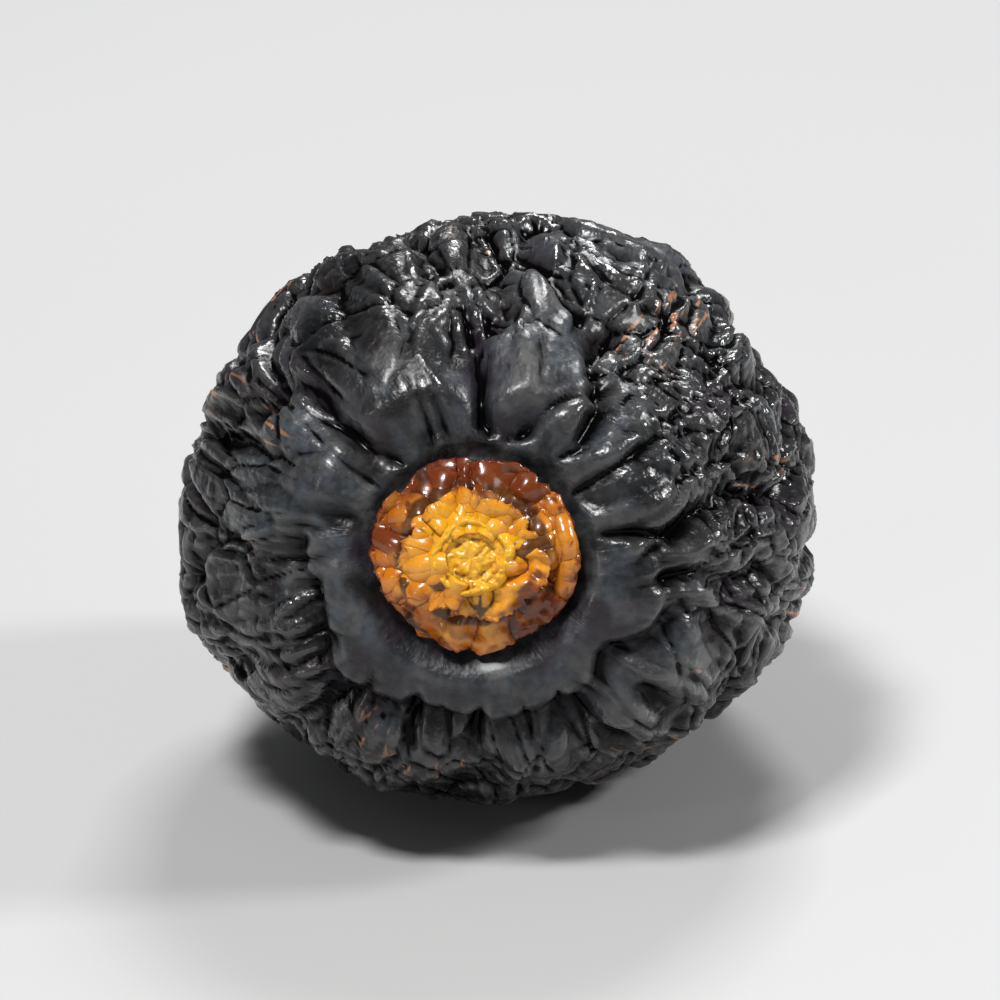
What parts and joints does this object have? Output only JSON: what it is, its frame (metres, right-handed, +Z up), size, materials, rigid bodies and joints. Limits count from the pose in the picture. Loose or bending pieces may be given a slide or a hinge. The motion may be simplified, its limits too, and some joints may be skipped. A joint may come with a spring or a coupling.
{
  "type": "dried ajwa date",
  "caption": "Black wrinkled ajwa date lying on its side, with its golden calyx still on one end",
  "frame": {"origin": "on the surface that the date rests on, under the middle of its box", "axes": "+X along the fruit towards the calyx, +Z up"},
  "size_m": [0.03, 0.0212, 0.0192],
  "materials": {
    "skin": "satin, near black, wrinkled dry fruit skin",
    "calyx": "glossy, golden amber dry calyx"
  },
  "bodies": {
    "root": {"fruit": "skin", "calyx": "calyx"}
  },
  "joints": []
}
